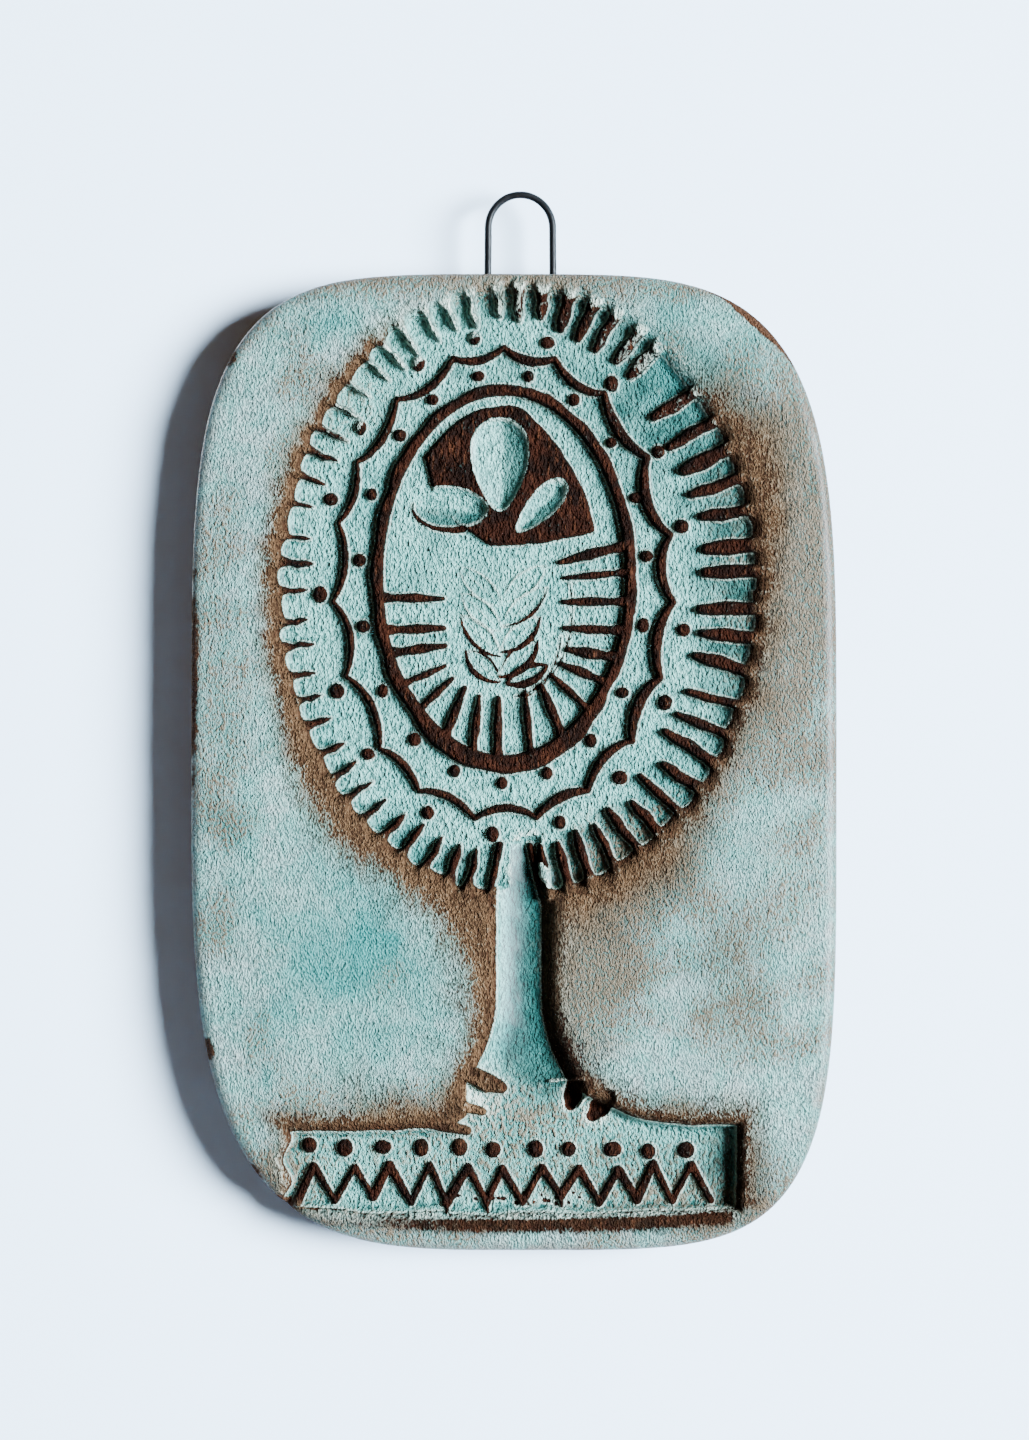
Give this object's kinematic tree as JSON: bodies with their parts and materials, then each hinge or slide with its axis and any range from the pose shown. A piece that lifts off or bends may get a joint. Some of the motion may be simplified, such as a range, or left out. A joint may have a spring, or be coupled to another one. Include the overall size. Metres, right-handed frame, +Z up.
{
  "type": "decorative wall tile",
  "caption": "Rounded glazed stoneware wall tile with a sunken, patterned footed cup in relief and a wire loop at the top to hang it by.",
  "frame": {"origin": "nail point: the inner top of the wire loop, in the middle of the wire's thickness", "axes": "+Z up as hung, +Y from the decorated face to the wall, +X to the right seen from the front"},
  "size_m": [0.105, 0.0094, 0.1726],
  "materials": {
    "glazed_clay": "satin turquoise glaze worn back to brown clay on the raised lines",
    "dark_wire": "dark satin wire"
  },
  "bodies": {
    "root": {"tile_slab": "glazed_clay", "hanging_wire": "dark_wire"}
  },
  "joints": []
}
